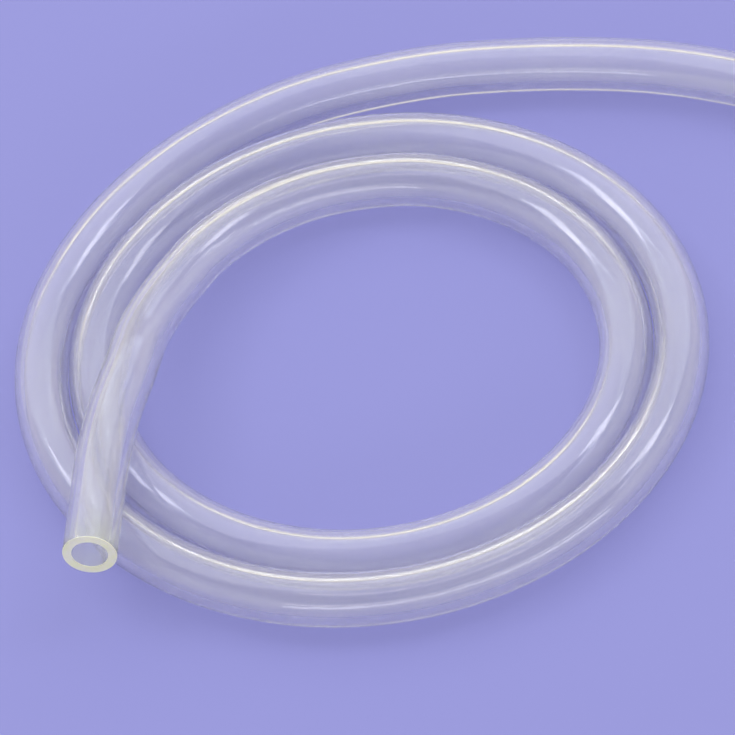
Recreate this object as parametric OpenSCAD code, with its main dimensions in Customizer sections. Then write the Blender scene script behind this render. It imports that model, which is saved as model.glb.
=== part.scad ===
// A hank of clear silicone tubing, laid flat as a spiral coil.
//
// The tube is one piece, open from end to end. Its near end climbs over the
// innermost turns and is cut square on top of them. From there the tube comes
// down to the surface, winds outwards turn beside turn, and leaves the coil as
// a loose curve to its far end. Lengths are millimetres, angles are degrees.

/* [Tube] */
// Diameter of the bore
tube_bore = 6.4; // [5:0.1:8]
// Thickness of the wall
tube_wall = 1.6; // [1.2:0.1:2.2]
// Length of the straight stretch behind each cut end
end_straight = 18; // [12:1:26]

/* [Coil] */
// Centreline radius where the innermost turn begins
coil_radius = 42.6; // [35:0.1:56]
// Gap between one turn and the next
turn_gap = 0.2; // [0.1:0.05:0.6]
// How far the turns are wound, from the innermost one outwards
coil_turn = 660; // [540:10:800]
// How much the turns are out of round
coil_oval = 1.5; // [0:0.1:2.4]
// Direction of the turns' longer axis
oval_direction = 120; // [0:1:180]

/* [Hidden] */
$fn = 96;

tube_od = tube_bore + 2 * tube_wall;
// Centre distance of two tubes that lie side by side or one on the other
pitch = tube_od + turn_gap;

// Direction in which the innermost turn begins, seen from the coil's centre
start_direction = 75;
// Wanted angle between two stations of the coil
station_angle = 20;
// The bends are joined at this scale and the result is enlarged again, which
// makes the rounding of their places too small to leave a seam between two.
joining_scale = 0.0001;

// The near end's climb over the turns, from its cut end down to the coil:
// [angle before the innermost turn, swing outwards, lift], in pitches.
end_run = [
    [128, 1.85, 1.0],
    [116, 1.0, 1.0],
    [102, 0.3, 0.95],
    [86, -0.02, 0.7],
    [68, -0.23, 0.46],
    [48, -0.23, 0.3],
    [24, -0.12, 0.12],
];
// The loose curve to the far end: [angle past the coil, swing outwards].
tail_run = [
    [20, 0.1],
    [40, 0.3],
    [60, 0.6],
    [80, 1.2],
    [100, 2.3],
    [120, 3.7],
    [140, 4.75],
    [160, 5.45],
    [175, 5.8],
];

// ---- Stations: [angle along the winding, swing, lift] ----

coil_steps = round(coil_turn / station_angle);
stations = concat(
    [for (s = end_run) [-s[0], s[1], s[2]]],
    [for (k = [0 : coil_steps]) [k * coil_turn / coil_steps, 0, 0]],
    [for (s = tail_run) [coil_turn + s[0], s[1], 0]]
);
last = len(stations) - 1;

// Centreline point of a station. The tube winds clockwise, seen from above,
// and moves out by one pitch in each full turn.
function station_point(s) =
    let (
        direction = start_direction - s[0],
        oval = coil_oval * cos(2 * (direction - oval_direction)),
        radius = coil_radius + oval + pitch * (s[0] / 360 + s[1])
    )
    [radius * cos(direction), radius * sin(direction), tube_od / 2 + pitch * s[2]];

points = [for (s = stations) station_point(s)];

// ---- Tangents ----

function unit(v) = v / norm(v);

// Tangent at b of the circle through a, b and c
function circle_tangent(a, b, c) =
    unit(unit(b - a) * norm(c - b) + unit(c - b) * norm(b - a));

// Tangent at the far end of an arc that starts along t and spans the chord
function far_tangent(t, chord) =
    unit(2 * (t * chord) / (chord * chord) * chord - t);

// A tube that rests on the surface runs level
function levelled(t, lift) = lift == 0 ? unit([t.x, t.y, 0]) : t;

inner_tangents = [
    for (k = [1 : last - 1])
        levelled(circle_tangent(points[k - 1], points[k], points[k + 1]), stations[k][2])
];
tangents = concat(
    [far_tangent(inner_tangents[0], points[1] - points[0])],
    inner_tangents,
    [far_tangent(inner_tangents[last - 2], points[last] - points[last - 1])]
);

// ---- Bends: [start, tangent at the start, finish], two between stations ----

// Where two arcs that join p and q smoothly meet each other
function meeting_point(p, p_tangent, q, q_tangent) =
    let (
        chord = q - p,
        b = chord * (p_tangent + q_tangent),
        c = 2 * (1 - p_tangent * q_tangent),
        reach = chord * chord / (b + sqrt(b * b + c * (chord * chord)))
    )
    (p + q + reach * (p_tangent - q_tangent)) / 2;

bends = [
    for (k = [0 : last - 1])
        let (middle = meeting_point(points[k], tangents[k], points[k + 1], tangents[k + 1]))
        each [
            [points[k], tangents[k], middle],
            [middle, far_tangent(tangents[k], middle - points[k]), points[k + 1]],
        ]
];

function bend_chord(bend) = bend[2] - bend[0];
// The part of the chord that lies across the tube
function bend_side(bend) = bend_chord(bend) - (bend_chord(bend) * bend[1]) * bend[1];
function bend_radius(bend) = bend_chord(bend) * bend_chord(bend) / (2 * norm(bend_side(bend)));
function bend_sweep(bend) = 2 * atan2(norm(bend_side(bend)), bend_chord(bend) * bend[1]);
function bend_length(bend) = bend_radius(bend) * bend_sweep(bend) * PI / 180;

// ---- The two cut ends, and where the whole tube lies ----

near_mouth = points[0] - end_straight * tangents[0];
far_mouth = points[last] + end_straight * tangents[last];

// Place and direction at a fraction of a bend
function bend_ring(bend, fraction) =
    let (
        inwards = unit(bend_side(bend)),
        angle = fraction * bend_sweep(bend)
    )
    [
        bend[0] + bend_radius(bend) * ((1 - cos(angle)) * inwards + sin(angle) * bend[1]),
        cos(angle) * bend[1] + sin(angle) * inwards,
    ];

rings = concat(
    [[near_mouth, tangents[0]], [far_mouth, tangents[last]]],
    [for (bend = bends, fraction = [0 : 0.25 : 0.75]) bend_ring(bend, fraction)]
);

// Half the outer width of a ring along an axis
function ring_reach(ring, axis) = tube_od / 2 * sqrt(1 - pow(ring[1][axis], 2));

function middle_of(axis) = (
    min([for (ring = rings) ring[0][axis] - ring_reach(ring, axis)]) +
    max([for (ring = rings) ring[0][axis] + ring_reach(ring, axis)])
) / 2;

middle = [middle_of(0), middle_of(1), 0];

tube_length = 2 * end_straight + [for (bend = bends) bend_length(bend)] * [for (bend = bends) 1];
echo(tube_length = tube_length, near_mouth = near_mouth - middle, near_direction = -tangents[0]);
echo(far_mouth = far_mouth - middle, far_direction = tangents[last]);

// ---- Solids ----

// Places its children with their axes along x, y and z and their origin at p,
// at the joining scale
module placed(x, y, z, p) {
    scale(joining_scale)
        multmatrix([
            [x.x, y.x, z.x, p.x],
            [x.y, y.y, z.y, p.y],
            [x.z, y.z, z.z, p.z],
            [0, 0, 0, 1],
        ])
            children();
}

module tube_section() {
    difference() {
        circle(d = tube_od);
        circle(d = tube_bore);
    }
}

module tube_bend(bend) {
    inwards = unit(bend_side(bend));
    placed(-inwards, bend[1], cross(-inwards, bend[1]), bend[0] + bend_radius(bend) * inwards)
        rotate_extrude(angle = bend_sweep(bend))
            translate([bend_radius(bend), 0])
                tube_section();
}

// A straight stretch that starts at p and runs along a direction
module tube_straight(p, direction) {
    across = unit(cross([0, 0, 1], direction));
    placed(across, cross(direction, across), direction, p)
        linear_extrude(height = end_straight)
            tube_section();
}

module silicone_tube() {
    color([0.78, 0.77, 0.86, 0.6])
        translate(-middle)
            scale(1 / joining_scale) {
                tube_straight(near_mouth, tangents[0]);
                for (bend = bends) tube_bend(bend);
                tube_straight(points[last], tangents[last]);
            }
}

silicone_tube();
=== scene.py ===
"""A hank of clear silicone tubing, laid flat as a spiral coil.

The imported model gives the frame: +Z is up and the coil lies on z = 0. The tube
is one swept wall, open from end to end, that follows the same route as the
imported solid. All lengths are metres.
"""

import logging
import math
from dataclasses import dataclass, field
from enum import Enum
from itertools import accumulate

import bpy
from mathutils import Matrix, Vector

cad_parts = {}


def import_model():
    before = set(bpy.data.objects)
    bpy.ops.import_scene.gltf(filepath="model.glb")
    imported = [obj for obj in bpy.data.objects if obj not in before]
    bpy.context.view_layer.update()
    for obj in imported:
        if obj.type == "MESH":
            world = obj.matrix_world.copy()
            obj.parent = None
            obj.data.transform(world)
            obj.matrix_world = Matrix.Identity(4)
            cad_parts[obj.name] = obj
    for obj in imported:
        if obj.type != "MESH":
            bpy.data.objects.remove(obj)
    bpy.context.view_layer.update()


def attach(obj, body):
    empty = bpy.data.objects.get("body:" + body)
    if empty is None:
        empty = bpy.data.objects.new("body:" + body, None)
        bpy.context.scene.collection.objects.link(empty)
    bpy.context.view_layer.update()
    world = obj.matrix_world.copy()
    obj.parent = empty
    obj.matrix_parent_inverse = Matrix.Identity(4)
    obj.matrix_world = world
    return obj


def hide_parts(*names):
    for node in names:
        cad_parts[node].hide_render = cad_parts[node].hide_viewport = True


MM = 0.001
SILICONE_IOR = 1.41
# How often light may pass through walls, and how often it may be reflected
WALL_CROSSINGS = 48
REFLECTIONS = 12
# Places of the colour sockets on a Mix node
MIX_FIRST = 6
MIX_SECOND = 7
MIX_RESULT = 2
# UV map of the tube: metres along it and turns around it
TUBE_UV = "TubeUV"
LOG = logging.getLogger("tubing_coil")

Point = tuple[float, float, float]
Colour = tuple[float, float, float, float]
# What a node's input takes: the socket that feeds it, a number, or a vector or colour
Source = bpy.types.NodeSocket | float | tuple[float, ...]


class Zone(Enum):
    """The surfaces of the tube, with the place of each one's material."""

    OUTSIDE = 0
    CUT = 1
    BORE = 2


@dataclass(frozen=True)
class Section:
    """The tube's cross-section.

    Attributes:
        bore: Diameter of the bore.
        wall: Thickness of the wall.
        edge: Radius that the cut leaves on the rims' edges.
        edge_steps: Facets of that radius.
        face_shares: Where the rings of a rim's flat face lie, as shares of its width.
    """

    bore: float = 6.4 * MM
    wall: float = 1.6 * MM
    edge: float = 0.14 * MM
    edge_steps: int = 4
    face_shares: tuple[float, ...] = (0.06, 0.3, 0.7, 0.94)

    @property
    def outer(self) -> float:
        """Outer diameter."""
        return self.bore + 2 * self.wall

    def rim(self) -> list[tuple[float, float]]:
        """Lists the outline of a cut rim, from the outer surface to the bore.

        Returns:
            For each point: how far it lies back from the end, and its radius.
        """
        outer, bore, edge = self.outer / 2, self.bore / 2, self.edge
        angles = [math.pi / 2 * k / self.edge_steps for k in range(self.edge_steps + 1)]
        outer_edge = [(edge * (1 - math.sin(a)), outer - edge * (1 - math.cos(a))) for a in angles]
        bore_edge = [(edge * (1 - math.cos(a)), bore + edge * (1 - math.sin(a))) for a in angles]
        flat = self.wall - 2 * edge
        face = [(0.0, outer - edge - flat * share) for share in self.face_shares]
        return [*outer_edge, *face, *bore_edge]


@dataclass(frozen=True)
class Bend:
    """One arc of the centreline.

    Attributes:
        start: Where the arc begins.
        tangent: Direction of the tube there.
        finish: Where the arc ends.
    """

    start: Vector
    tangent: Vector
    finish: Vector

    @property
    def chord(self) -> Vector:
        """Vector from the start to the finish."""
        return self.finish - self.start

    @property
    def side(self) -> Vector:
        """The part of the chord that lies across the tube."""
        return self.chord - self.chord.dot(self.tangent) * self.tangent

    @property
    def radius(self) -> float:
        """Radius of the arc."""
        return self.chord.length_squared / (2 * self.side.length)

    @property
    def sweep(self) -> float:
        """Angle of the arc, in radians."""
        return 2 * math.atan2(self.side.length, self.chord.dot(self.tangent))

    @property
    def length(self) -> float:
        """Length along the arc."""
        return self.radius * self.sweep

    def at(self, fraction: float) -> tuple[Vector, Vector]:
        """Finds a place on the arc.

        Args:
            fraction: How far along, from 0 to 1.

        Returns:
            The point and the tube's direction there.
        """
        inwards = self.side.normalized()
        angle = fraction * self.sweep
        across = (1 - math.cos(angle)) * inwards + math.sin(angle) * self.tangent
        heading = math.cos(angle) * self.tangent + math.sin(angle) * inwards
        return self.start + self.radius * across, heading


def circle_tangent(a: Vector, b: Vector, c: Vector) -> Vector:
    """Finds the tangent at b of the circle through three points.

    Args:
        a: The first point.
        b: The middle point.
        c: The last point.

    Returns:
        The unit tangent.
    """
    before, after = b - a, c - b
    return (before.normalized() * after.length + after.normalized() * before.length).normalized()


def far_tangent(tangent: Vector, chord: Vector) -> Vector:
    """Finds the tangent at the far end of an arc.

    Args:
        tangent: Direction at the arc's start.
        chord: Vector from its start to its far end.

    Returns:
        The unit tangent there.
    """
    along = chord.normalized()
    return (2 * tangent.dot(along) * along - tangent).normalized()


def meeting_point(p: Vector, p_tangent: Vector, q: Vector, q_tangent: Vector) -> Vector:
    """Finds where two arcs that join p and q smoothly meet each other.

    Args:
        p: The first point.
        p_tangent: Direction at p.
        q: The second point.
        q_tangent: Direction at q.

    Returns:
        The point in the middle.
    """
    chord = q - p
    b = chord.dot(p_tangent + q_tangent)
    c = 2 * (1 - p_tangent.dot(q_tangent))
    reach = chord.length_squared / (b + math.sqrt(b * b + c * chord.length_squared))
    return (p + q + reach * (p_tangent - q_tangent)) / 2


@dataclass(frozen=True)
class Station:
    """A point of the route, as a place on the spiral.

    Attributes:
        turn: Angle along the winding, in degrees.
        swing: How far outside the spiral it lies, in pitches.
        lift: How far above the surface, in pitches.
    """

    turn: float
    swing: float = 0.0
    lift: float = 0.0


@dataclass
class CoilRoute:
    """The tube's centreline, from its near cut end to its far one.

    Attributes:
        section: The tube's cross-section.
        radius: Centreline radius where the innermost turn begins.
        gap: Gap between one turn and the next.
        wound: Angle that the turns are wound through, in degrees.
        oval: How much the turns are out of round.
        oval_direction: Direction of their longer axis, in degrees.
        start_direction: Direction in which the innermost turn begins, in degrees.
        station_angle: Angle between two stations of the coil, in degrees.
        end_straight: Length of the straight stretch behind each cut end.
        climb: Stations of the near end, with angles counted back from the coil.
        tail: Stations of the far end, with angles counted on from the coil.
    """

    section: Section
    radius: float = 42.6 * MM
    gap: float = 0.2 * MM
    wound: float = 660.0
    oval: float = 1.5 * MM
    oval_direction: float = 120.0
    start_direction: float = 75.0
    station_angle: float = 20.0
    end_straight: float = 18.0 * MM
    climb: tuple[Station, ...] = (
        Station(-128, 1.85, 1.0),
        Station(-116, 1.0, 1.0),
        Station(-102, 0.3, 0.95),
        Station(-86, -0.02, 0.7),
        Station(-68, -0.23, 0.46),
        Station(-48, -0.23, 0.3),
        Station(-24, -0.12, 0.12),
    )
    tail: tuple[Station, ...] = (
        Station(20, 0.1),
        Station(40, 0.3),
        Station(60, 0.6),
        Station(80, 1.2),
        Station(100, 2.3),
        Station(120, 3.7),
        Station(140, 4.75),
        Station(160, 5.45),
        Station(175, 5.8),
    )

    @property
    def pitch(self) -> float:
        """Centre distance of two turns that lie side by side."""
        return self.section.outer + self.gap

    def stations(self) -> list[Station]:
        """Lists the whole route's stations, with the coil's own worked out.

        Returns:
            The stations, from the near end to the far one.
        """
        steps = round(self.wound / self.station_angle)
        coil = [Station(k * self.wound / steps) for k in range(steps + 1)]
        tail = [Station(self.wound + s.turn, s.swing, s.lift) for s in self.tail]
        return [*self.climb, *coil, *tail]

    def place(self, station: Station) -> Vector:
        """Finds a station's point, from the coil's centre.

        Args:
            station: The station.

        Returns:
            Its point, with the winding clockwise as seen from above.
        """
        direction = math.radians(self.start_direction - station.turn)
        oval = self.oval * math.cos(2 * (direction - math.radians(self.oval_direction)))
        radius = self.radius + oval + self.pitch * (station.turn / 360 + station.swing)
        height = self.section.outer / 2 + self.pitch * station.lift
        return Vector((radius * math.cos(direction), radius * math.sin(direction), height))

    def tangents(self, points: list[Vector], stations: list[Station]) -> list[Vector]:
        """Works out the tube's direction at each point.

        Args:
            points: The stations' points.
            stations: The stations, whose lift says which of them lie level.

        Returns:
            One unit tangent a point.
        """
        inner = []
        for k in range(1, len(points) - 1):
            tangent = circle_tangent(points[k - 1], points[k], points[k + 1])
            if stations[k].lift == 0:
                tangent = Vector((tangent.x, tangent.y, 0)).normalized()
            inner.append(tangent)
        first = far_tangent(inner[0], points[1] - points[0])
        last = far_tangent(inner[-1], points[-1] - points[-2])
        return [first, *inner, last]

    def bends(self) -> list[Bend]:
        """Works out the arcs, two between each station and the next.

        Returns:
            The arcs, from the near end to the far one.
        """
        stations = self.stations()
        points = [self.place(station) for station in stations]
        tangents = self.tangents(points, stations)
        bends = []
        for p, t, q, u in zip(points, tangents, points[1:], tangents[1:]):
            middle = meeting_point(p, t, q, u)
            bends.append(Bend(p, t, middle))
            bends.append(Bend(middle, far_tangent(t, middle - p), q))
        return bends

    def rings(self, spacing: float) -> list[tuple[Vector, Vector]]:
        """Samples the centreline evenly enough for a smooth sweep.

        Args:
            spacing: Greatest distance between two samples.

        Returns:
            Points with the tube's direction at each, from mouth to mouth.
        """
        bends = self.bends()
        start, heading = bends[0].start, bends[0].tangent
        end_steps = math.ceil(self.end_straight / spacing)
        step = self.end_straight / end_steps
        rings = [(start - k * step * heading, heading) for k in range(end_steps, 0, -1)]
        for bend in bends:
            steps = math.ceil(bend.length / spacing)
            rings += [bend.at(k / steps) for k in range(steps)]
        finish, heading = bends[-1].at(1)
        rings += [(finish + k * step * heading, heading) for k in range(end_steps + 1)]
        return rings


def centred(rings: list[tuple[Vector, Vector]], outer: float) -> list[tuple[Vector, Vector]]:
    """Moves a route so that the tube's box stands centred on the origin.

    Args:
        rings: Points with directions.
        outer: The tube's outer diameter.

    Returns:
        The same route, moved level.
    """
    middle = Vector((0, 0, 0))
    for axis in (0, 1):
        reach = [outer / 2 * math.sqrt(max(0, 1 - heading[axis] ** 2)) for _, heading in rings]
        low = min(point[axis] - r for (point, _), r in zip(rings, reach))
        high = max(point[axis] + r for (point, _), r in zip(rings, reach))
        middle[axis] = (low + high) / 2
    return [(point - middle, heading) for point, heading in rings]


@dataclass(frozen=True)
class NodePen:
    """Adds nodes to one node tree and joins them.

    Attributes:
        tree: The material's, the world's or the group's node tree.
    """

    tree: bpy.types.NodeTree

    def add(self, kind: str, settings: dict[str, object] | None = None, **inputs: Source) -> bpy.types.Node:
        """Adds a node.

        Args:
            kind: Its type, such as ShaderNodeMath.
            settings: Its properties, such as the operation.
            **inputs: What feeds its inputs, by name, with _ for a space.

        Returns:
            The node.
        """
        node = self.tree.nodes.new(kind)
        for name, value in (settings or {}).items():
            setattr(node, name, value)
        for name, value in inputs.items():
            self.feed(node.inputs[name.replace("_", " ")], value)
        return node

    def group(self, tree: bpy.types.NodeTree, **inputs: Source) -> bpy.types.Node:
        """Adds a node that stands for a group.

        Args:
            tree: The group.
            **inputs: What feeds its inputs, by name, with _ for a space.

        Returns:
            The node.
        """
        return self.add("ShaderNodeGroup", {"node_tree": tree}, **inputs)

    def feed(self, socket: bpy.types.NodeSocket, value: Source) -> None:
        """Gives an input its value.

        Args:
            socket: The input.
            value: What it takes.
        """
        if isinstance(value, bpy.types.NodeSocket):
            self.tree.links.new(value, socket)
        else:
            socket.default_value = value

    def math(self, operation: str, a: Source, b: Source = 0.0) -> bpy.types.NodeSocket:
        """Adds a Math node.

        Args:
            operation: What it does.
            a: Its first value.
            b: Its second value.

        Returns:
            Its output.
        """
        node = self.add("ShaderNodeMath", {"operation": operation})
        self.feed(node.inputs[0], a)
        self.feed(node.inputs[1], b)
        return node.outputs[0]

    def spread(
        self,
        value: Source,
        given: tuple[float, float],
        wanted: tuple[float, float] = (0.0, 1.0),
    ) -> bpy.types.NodeSocket:
        """Adds a Map Range node, clamped and smooth.

        Args:
            value: What it maps.
            given: The two values between which it changes.
            wanted: What it gives at those two.

        Returns:
            Its output.
        """
        node = self.add("ShaderNodeMapRange", {"interpolation_type": "SMOOTHSTEP"}, Value=value)
        for name, limit in zip(("From Min", "From Max", "To Min", "To Max"), (*given, *wanted)):
            node.inputs[name].default_value = limit
        return node.outputs["Result"]

    def mix(self, factor: Source, first: Source, second: Source) -> bpy.types.NodeSocket:
        """Adds a Mix node for colours.

        Args:
            factor: Share of the second colour.
            first: The first colour.
            second: The second colour.

        Returns:
            Its output.
        """
        node = self.add("ShaderNodeMix", {"data_type": "RGBA"}, Factor=factor)
        self.feed(node.inputs[MIX_FIRST], first)
        self.feed(node.inputs[MIX_SECOND], second)
        return node.outputs[MIX_RESULT]


@dataclass
class Effects:
    """The node groups that the silicone's finishes share.

    Attributes:
        streak_limits: Noise values at which the streaks' pattern is 0 and 1.
        streak_detail: Detail and roughness of their noise.
        haze_limits: Noise values at which the rubber is clearest and cloudiest.
        haze_detail: Detail and roughness of its noise.
        streaks: The group of the streaks and waves.
        haze: The group of the milkiness.
        warmth: The group of the tint at the cuts.
    """

    streak_limits: tuple[float, float] = (0.3, 0.7)
    streak_detail: tuple[float, float] = (2.0, 0.55)
    haze_limits: tuple[float, float] = (0.32, 0.68)
    haze_detail: tuple[float, float] = (3.0, 0.6)
    streaks: bpy.types.NodeTree = field(init=False)
    haze: bpy.types.NodeTree = field(init=False)
    warmth: bpy.types.NodeTree = field(init=False)

    def __post_init__(self) -> None:
        """Builds the groups."""
        self.streaks = self._streaks()
        self.haze = self._haze()
        self.warmth = self._warmth()

    @staticmethod
    def _group(
        name: str, inputs: dict[str, str], outputs: dict[str, str]
    ) -> tuple[bpy.types.NodeTree, NodePen, bpy.types.Node, bpy.types.Node]:
        """Starts a group.

        Args:
            name: Its name.
            inputs: The kind of each named input.
            outputs: The kind of each named output.

        Returns:
            The group, a pen on it, its input node and its output node.
        """
        group = bpy.data.node_groups.new(name, "ShaderNodeTree")
        for side, sockets in (("INPUT", inputs), ("OUTPUT", outputs)):
            for label, kind in sockets.items():
                group.interface.new_socket(name=label, in_out=side, socket_type=f"NodeSocket{kind}")
        pen = NodePen(group)
        return group, pen, pen.add("NodeGroupInput"), pen.add("NodeGroupOutput")

    def _streaks(self) -> bpy.types.NodeTree:
        """Builds the pattern of lengthwise streaks and waves that drawing through the die leaves.

        Returns:
            The group.
        """
        group, pen, given, out = self._group(
            "drawn_streaks",
            {"Place": "Vector", "Around": "Float", "Length": "Float"},
            {"Pattern": "Float"},
        )
        place = pen.add("ShaderNodeSeparateXYZ", Vector=given.outputs["Place"])
        turn = pen.math("MULTIPLY", place.outputs["Y"], math.tau)
        reach = pen.math("DIVIDE", given.outputs["Around"], math.tau)
        ring = pen.add(
            "ShaderNodeCombineXYZ",
            X=pen.math("MULTIPLY", pen.math("COSINE", turn), reach),
            Y=pen.math("MULTIPLY", pen.math("SINE", turn), reach),
            Z=pen.math("DIVIDE", place.outputs["X"], given.outputs["Length"]),
        )
        detail, roughness = self.streak_detail
        noise = pen.add(
            "ShaderNodeTexNoise",
            Vector=ring.outputs["Vector"],
            Scale=1.0,
            Detail=detail,
            Roughness=roughness,
        )
        pen.feed(out.inputs["Pattern"], pen.spread(noise.outputs["Fac"], self.streak_limits))
        return group

    def _haze(self) -> bpy.types.NodeTree:
        """Builds the uneven milkiness of cured silicone.

        Returns:
            The group.
        """
        group, pen, given, out = self._group(
            "cured_haze",
            {"Position": "Vector", "Size": "Float", "Clear": "Color", "Milky": "Color"},
            {"Colour": "Color"},
        )
        detail, roughness = self.haze_detail
        noise = pen.add(
            "ShaderNodeTexNoise",
            Vector=given.outputs["Position"],
            Scale=pen.math("DIVIDE", 1.0, given.outputs["Size"]),
            Detail=detail,
            Roughness=roughness,
        )
        haze = pen.spread(noise.outputs["Fac"], self.haze_limits)
        colour = pen.mix(haze, given.outputs["Clear"], given.outputs["Milky"])
        pen.feed(out.inputs["Colour"], colour)
        return group

    def _warmth(self) -> bpy.types.NodeTree:
        """Builds the warm tint that the wall has close to a cut, where it is looked into endways.

        Returns:
            The group.
        """
        group, pen, given, out = self._group(
            "cut_warmth",
            {"Place": "Vector", "Tube": "Float", "Reach": "Float", "Colour": "Color", "Warm": "Color"},
            {"Colour": "Color"},
        )
        along = pen.add("ShaderNodeSeparateXYZ", Vector=given.outputs["Place"]).outputs["X"]
        gap = pen.math("MINIMUM", along, pen.math("SUBTRACT", given.outputs["Tube"], along))
        nearness = pen.math("DIVIDE", gap, given.outputs["Reach"])
        warmth = pen.spread(nearness, (0.0, 1.0), (1.0, 0.0))
        colour = pen.mix(warmth, given.outputs["Colour"], given.outputs["Warm"])
        pen.feed(out.inputs["Colour"], colour)
        return group


@dataclass(frozen=True)
class SiliconeFinish:
    """A drawn surface of the tube, outside or in the bore.

    Attributes:
        name: The material's name.
        tube: Length of the tube.
        clear: Colour where the rubber is clearest.
        milky: Colour where it is cloudiest.
        warm: Colour at a cut.
        warm_reach: How far from a cut that colour reaches.
        haze_size: Size of the cloudy patches.
        transmission: Share of the light that goes through the surface.
        gloss: Lowest and highest roughness.
        streaks: How many fine streaks lie around the tube, and the length of one.
        streak_depth: Their depth.
        waves: How many slow waves lie around the tube, and the length of one.
        wave_depth: Their depth.
    """

    name: str
    tube: float
    clear: Colour = (0.985, 0.985, 0.99, 1)
    milky: Colour = (0.95, 0.95, 0.98, 1)
    warm: Colour = (0.98, 1.0, 0.86, 1)
    warm_reach: float = 9.0 * MM
    haze_size: float = 30.0 * MM
    transmission: float = 0.9
    gloss: tuple[float, float] = (0.06, 0.13)
    streaks: tuple[float, float] = (34.0, 0.18)
    streak_depth: float = 0.008 * MM
    waves: tuple[float, float] = (2.0, 0.12)
    wave_depth: float = 0.02 * MM

    def material(self, effects: Effects) -> bpy.types.Material:
        """Builds the material.

        Args:
            effects: The shared node groups.

        Returns:
            The material.
        """
        mat = bpy.data.materials.new(self.name)
        mat.use_nodes = True
        pen = NodePen(mat.node_tree)
        shader = mat.node_tree.nodes["Principled BSDF"]
        place = pen.add("ShaderNodeUVMap", {"uv_map": TUBE_UV}).outputs["UV"]
        position = pen.add("ShaderNodeTexCoord").outputs["Object"]
        haze = pen.group(
            effects.haze,
            Position=position,
            Size=self.haze_size,
            Clear=self.clear,
            Milky=self.milky,
        )
        warmth = pen.group(
            effects.warmth,
            Place=place,
            Tube=self.tube,
            Reach=self.warm_reach,
            Colour=haze.outputs["Colour"],
            Warm=self.warm,
        )
        pen.feed(shader.inputs["Base Color"], warmth.outputs["Colour"])
        fine, slow = (
            pen.group(effects.streaks, Place=place, Around=around, Length=length)
            for around, length in (self.streaks, self.waves)
        )
        roughness = pen.spread(fine.outputs["Pattern"], (0.0, 1.0), self.gloss)
        pen.feed(shader.inputs["Roughness"], roughness)
        waves = pen.add("ShaderNodeBump", Height=slow.outputs["Pattern"], Distance=self.wave_depth)
        streaks = pen.add(
            "ShaderNodeBump",
            Height=fine.outputs["Pattern"],
            Distance=self.streak_depth,
            Normal=waves.outputs["Normal"],
        )
        pen.feed(shader.inputs["Normal"], streaks.outputs["Normal"])
        shader.inputs["Transmission Weight"].default_value = self.transmission
        shader.inputs["IOR"].default_value = SILICONE_IOR
        return mat


@dataclass(frozen=True)
class CutFinish:
    """The cut rim: frosted by the blade, and warmer where the wall is seen end on.

    Attributes:
        name: The material's name.
        clear: Colour where the rubber is clearest.
        milky: Colour where it is cloudiest.
        haze_size: Size of the cloudy patches.
        transmission: Share of the light that goes through the surface.
        roughness: Roughness of the cut.
        mark_size: Size of the blade's marks.
        mark_depth: Their depth.
        mark_detail: Detail of their noise.
    """

    name: str
    clear: Colour = (1.0, 1.0, 0.82, 1)
    milky: Colour = (0.98, 1.0, 0.66, 1)
    haze_size: float = 2.5 * MM
    transmission: float = 0.3
    roughness: float = 0.3
    mark_size: float = 0.45 * MM
    mark_depth: float = 0.03 * MM
    mark_detail: float = 2.0

    def material(self, effects: Effects) -> bpy.types.Material:
        """Builds the material.

        Args:
            effects: The shared node groups.

        Returns:
            The material.
        """
        mat = bpy.data.materials.new(self.name)
        mat.use_nodes = True
        pen = NodePen(mat.node_tree)
        shader = mat.node_tree.nodes["Principled BSDF"]
        position = pen.add("ShaderNodeTexCoord").outputs["Object"]
        haze = pen.group(
            effects.haze,
            Position=position,
            Size=self.haze_size,
            Clear=self.clear,
            Milky=self.milky,
        )
        pen.feed(shader.inputs["Base Color"], haze.outputs["Colour"])
        marks = pen.add(
            "ShaderNodeTexNoise",
            Vector=position,
            Scale=1 / self.mark_size,
            Detail=self.mark_detail,
        )
        bump = pen.add("ShaderNodeBump", Height=marks.outputs["Fac"], Distance=self.mark_depth)
        pen.feed(shader.inputs["Normal"], bump.outputs["Normal"])
        shader.inputs["Roughness"].default_value = self.roughness
        shader.inputs["Transmission Weight"].default_value = self.transmission
        shader.inputs["IOR"].default_value = SILICONE_IOR
        return mat


@dataclass(frozen=True)
class Ring:
    """A ring of the tube's mesh.

    Attributes:
        sample: The centreline sample that it belongs to.
        offset: How far past that sample it lies, along the tube.
        radius: Its radius.
        zone: The surface between it and the next ring.
    """

    sample: int
    offset: float
    radius: float
    zone: Zone


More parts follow.
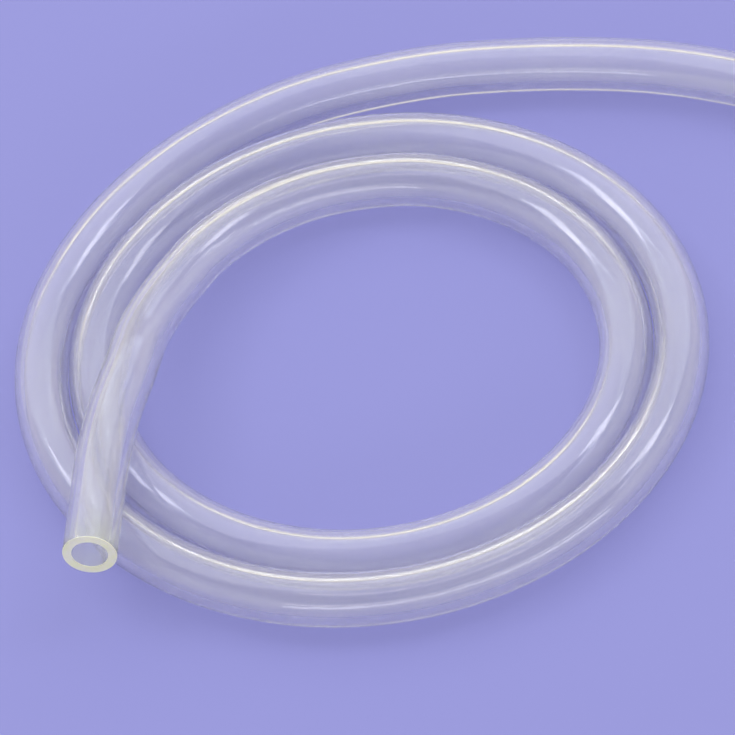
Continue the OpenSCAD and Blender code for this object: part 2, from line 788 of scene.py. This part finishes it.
@dataclass
class SiliconeTube:
    """The tube: an outer wall, a bore wall and two cut rims, as one closed shell.

    Attributes:
        section: Its cross-section.
        route: Its centreline.
        spacing: Greatest distance between two samples of the centreline.
        sides: Sides of each ring.
        name: Name of the piece.
        path: The centreline's points, once it is built.
    """

    section: Section
    route: CoilRoute
    spacing: float = 2.0 * MM
    sides: int = 64
    name: str = "silicone_tube_wall"
    path: list[Vector] = field(default_factory=list)

    def along(self) -> list[float]:
        """Measures the tube's length up to each point of its centreline.

        Returns:
            The lengths, from 0 at the near mouth.
        """
        steps = [(b - a).length for a, b in zip(self.path, self.path[1:])]
        return list(accumulate(steps, initial=0.0))

    @property
    def length(self) -> float:
        """Length of the centreline, once it is built."""
        return self.along()[-1]

    def rings(self) -> list[Ring]:
        """Lists the shell's rings, along the outside and then back through the bore.

        Returns:
            The rings. The last one's surface closes on the first one.
        """
        outer, bore = self.section.outer / 2, self.section.bore / 2
        last = len(self.path) - 1
        rim = self.section.rim()
        (outer_back, _), (bore_back, _) = rim[0], rim[-1]
        rings = [Ring(0, outer_back, outer, Zone.OUTSIDE)]
        rings += [Ring(k, 0.0, outer, Zone.OUTSIDE) for k in range(1, last)]
        rings += [Ring(last, -back, radius, Zone.CUT) for back, radius in rim[:-1]]
        rings += [Ring(last, -bore_back, bore, Zone.BORE)]
        rings += [Ring(k, 0.0, bore, Zone.BORE) for k in range(last - 1, 0, -1)]
        rings += [Ring(0, back, radius, Zone.CUT) for back, radius in reversed(rim[1:])]
        return rings

    def corners(self, ring: Ring, point: Vector, heading: Vector) -> list[Vector]:
        """Places a ring's corners.

        Args:
            ring: The ring.
            point: Its sample's point.
            heading: The tube's direction there.

        Returns:
            The corners, from the top round.
        """
        side = heading.cross(Vector((0, 0, 1))).normalized()
        up = side.cross(heading)
        centre = point + ring.offset * heading
        angles = [math.tau * k / self.sides for k in range(self.sides)]
        return [centre + ring.radius * (math.sin(a) * side + math.cos(a) * up) for a in angles]

    def faces(self, count: int) -> list[tuple[int, int, int, int]]:
        """Joins the rings with four-sided faces that point outwards.

        Args:
            count: How many rings there are.

        Returns:
            The corners of each face, ring by ring.
        """
        faces = []
        for ring in range(count):
            here, there = ring * self.sides, (ring + 1) % count * self.sides
            for k in range(self.sides):
                beside = (k + 1) % self.sides
                faces.append((here + k, here + beside, there + beside, there + k))
        return faces

    def lay_out(self, mesh: bpy.types.Mesh, rings: list[Ring]) -> None:
        """Gives each face the place of its material and its corners' UV.

        Args:
            mesh: The tube's mesh.
            rings: Its rings.
        """
        along = self.along()
        places = [along[ring.sample] + ring.offset for ring in rings]
        uv = mesh.uv_layers.new(name=TUBE_UV)
        for index, polygon in enumerate(mesh.polygons):
            i, k = divmod(index, self.sides)
            j = (i + 1) % len(rings)
            polygon.material_index = rings[i].zone.value
            polygon.use_smooth = True
            corners = ((i, k), (i, k + 1), (j, k + 1), (j, k))
            for loop, (ring, step) in zip(polygon.loop_indices, corners):
                uv.data[loop].uv = (places[ring], step / self.sides)

    def build(self) -> bpy.types.Object:
        """Builds the shell.

        Returns:
            The tube's object.
        """
        samples = centred(self.route.rings(self.spacing), self.section.outer)
        self.path = [point for point, _ in samples]
        rings = self.rings()
        verts = [corner for ring in rings for corner in self.corners(ring, *samples[ring.sample])]
        mesh = bpy.data.meshes.new(self.name)
        mesh.from_pydata(verts, [], self.faces(len(rings)))
        self.lay_out(mesh, rings)
        mesh.update()
        tube = bpy.data.objects.new(self.name, mesh)
        bpy.context.scene.collection.objects.link(tube)
        return tube

    def dress(self, tube: bpy.types.Object, effects: Effects) -> None:
        """Gives each surface its finish.

        Args:
            tube: The tube's object.
            effects: The node groups that the finishes share.
        """
        finishes = {
            Zone.OUTSIDE: SiliconeFinish("silicone_outside", self.length),
            Zone.CUT: CutFinish("silicone_cut"),
            Zone.BORE: SiliconeFinish("silicone_bore", self.length),
        }
        for zone in Zone:
            tube.data.materials.append(finishes[zone].material(effects))


@dataclass(frozen=True)
class Lamp:
    """A soft box that points at the middle of the coil.

    Attributes:
        name: Its name.
        place: Where it hangs.
        width: Its width.
        length: Its length.
        power: Its power, in watts.
        colour: The colour of its light.
    """

    name: str
    place: Point
    width: float
    length: float
    power: float
    colour: tuple[float, float, float] = (0.97, 0.98, 1.0)

    def hang(self) -> None:
        """Adds the lamp to the scene."""
        data = bpy.data.lights.new(self.name, "AREA")
        data.shape = "RECTANGLE"
        data.energy = self.power
        data.size = self.width
        data.size_y = self.length
        data.color = self.colour
        lamp = bpy.data.objects.new(self.name, data)
        lamp.visible_camera = False
        lamp.location = self.place
        lamp.rotation_euler = (-Vector(self.place)).to_track_quat("-Z", "Y").to_euler()
        bpy.context.scene.collection.objects.link(lamp)


@dataclass
class Studio:
    """The camera, the floor, the lamps and the bright low walls around them.

    Attributes:
        elevation: Angle at which the camera looks down, in degrees.
        roll: How far it leans over, in degrees.
        lens: Its focal length, in millimetres.
        sensor: Width of its sensor, in millimetres.
        far_limit: Distance up to which it sees.
        distance: Distance from the camera to the point it aims at.
        aim: That point.
        floor_size: Length of the floor's side.
        floor_colour: The floor's colour.
        floor_roughness: The floor's roughness.
        floor_evenness: Share of the floor's own shade that shows where a shadow falls on it.
        walls: Colour and strength of the light that comes in low, from all around.
        sky: Colour and strength of the light from above.
        wall_top: Elevations at which the walls begin to fade and give way to the sky, in degrees.
        lamps: The lamps.
    """

    elevation: float = 46.0
    roll: float = -14.0
    lens: float = 588.0
    sensor: float = 36.0
    far_limit: float = 20.0
    distance: float = 2.1156
    aim: Point = (-0.0279, 0.0150, 0.0)
    floor_size: float = 6.0
    floor_colour: Colour = (0.30, 0.30, 0.68, 1)
    floor_roughness: float = 0.5
    floor_evenness: float = 0.65
    walls: tuple[Colour, float] = ((1.0, 0.93, 0.76, 1), 0.95)
    sky: tuple[Colour, float] = ((0.92, 0.95, 1.0, 1), 0.14)
    wall_top: tuple[float, float] = (18.0, 42.0)
    lamps: tuple[Lamp, ...] = (
        Lamp("rear_panel", (0.0, 0.75, 1.3), 2.6, 1.87, 25.2),
        Lamp("left_rear", (-0.64, 0.58, 0.91), 0.34, 0.34, 2.1),
        Lamp("front_low", (0.15, -1.35, 0.42), 3.4, 0.18, 12.0),
        Lamp("right_side", (0.78, 0.21, 0.96), 0.34, 0.34, 2.1),
    )

    def camera(self) -> None:
        """Sets up the camera."""
        turn = Matrix.Rotation(math.radians(90 - self.elevation), 4, "X")
        turn = turn @ Matrix.Rotation(math.radians(self.roll), 4, "Z")
        back = turn @ Vector((0, 0, self.distance))
        data = bpy.data.cameras.new("camera")
        data.lens = self.lens
        data.sensor_width = self.sensor
        data.clip_end = self.far_limit
        camera = bpy.data.objects.new("camera", data)
        camera.matrix_world = Matrix.Translation(Vector(self.aim) + back) @ turn
        bpy.context.scene.collection.objects.link(camera)
        bpy.context.scene.camera = camera

    def floor(self) -> None:
        """Lays the floor."""
        bpy.ops.object.select_all(action="DESELECT")
        bpy.ops.mesh.primitive_plane_add(size=self.floor_size, location=(0, 0, 0))
        floor = bpy.context.object
        floor.name = "floor"
        mat = bpy.data.materials.new("pale_floor")
        mat.use_nodes = True
        pen = NodePen(mat.node_tree)
        shader = mat.node_tree.nodes["Principled BSDF"]
        shader.inputs["Base Color"].default_value = self.floor_colour
        shader.inputs["Roughness"].default_value = self.floor_roughness
        shade = pen.add("ShaderNodeEmission", Color=self.floor_colour)
        rays = pen.add("ShaderNodeLightPath").outputs
        seen = pen.math("MAXIMUM", rays["Is Camera Ray"], rays["Is Glossy Ray"])
        seen = pen.math("MAXIMUM", seen, rays["Is Transmission Ray"])
        blend = pen.add("ShaderNodeMixShader", Fac=pen.math("MULTIPLY", seen, self.floor_evenness))
        _, lit, plain = blend.inputs
        pen.feed(lit, shader.outputs["BSDF"])
        pen.feed(plain, shade.outputs["Emission"])
        pen.feed(mat.node_tree.nodes["Material Output"].inputs["Surface"], blend.outputs["Shader"])
        floor.data.materials.append(mat)

    def surroundings(self) -> None:
        """Sets the light that comes from all around, brightest near the level of the floor."""
        world = bpy.data.worlds.new("studio")
        bpy.context.scene.world = world
        world.use_nodes = True
        pen = NodePen(world.node_tree)
        background = world.node_tree.nodes["Background"]
        place = pen.add("ShaderNodeTexCoord").outputs["Generated"]
        height = pen.add("ShaderNodeSeparateXYZ", Vector=place).outputs["Z"]
        low, high = (math.sin(math.radians(angle)) for angle in self.wall_top)
        (wall_colour, wall_strength), (sky_colour, sky_strength) = self.walls, self.sky
        colour = pen.mix(pen.spread(height, (low, high)), wall_colour, sky_colour)
        pen.feed(background.inputs["Color"], colour)
        strength = pen.spread(height, (low, high), (wall_strength, sky_strength))
        pen.feed(background.inputs["Strength"], strength)

    def build(self) -> None:
        """Sets up the camera, the floor and the light."""
        self.camera()
        self.floor()
        self.surroundings()
        for lamp in self.lamps:
            lamp.hang()


def main() -> None:
    """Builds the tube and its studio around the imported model."""
    logging.basicConfig(level=logging.INFO, format="%(name)s: %(message)s")
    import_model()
    scene = bpy.context.scene
    scene.view_settings.view_transform = "Standard"
    scene.cycles.max_bounces = WALL_CROSSINGS
    scene.cycles.transmission_bounces = WALL_CROSSINGS
    scene.cycles.glossy_bounces = REFLECTIONS
    Studio().build()
    section = Section()
    maker = SiliconeTube(section, CoilRoute(section))
    tube = maker.build()
    length = maker.length
    maker.dress(tube, Effects())
    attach(tube, "root")
    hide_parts("silicone_tube")
    LOG.info("silicone tube: %.4f m long, %d faces", length, len(tube.data.polygons))


if __name__ == "__main__":
    main()
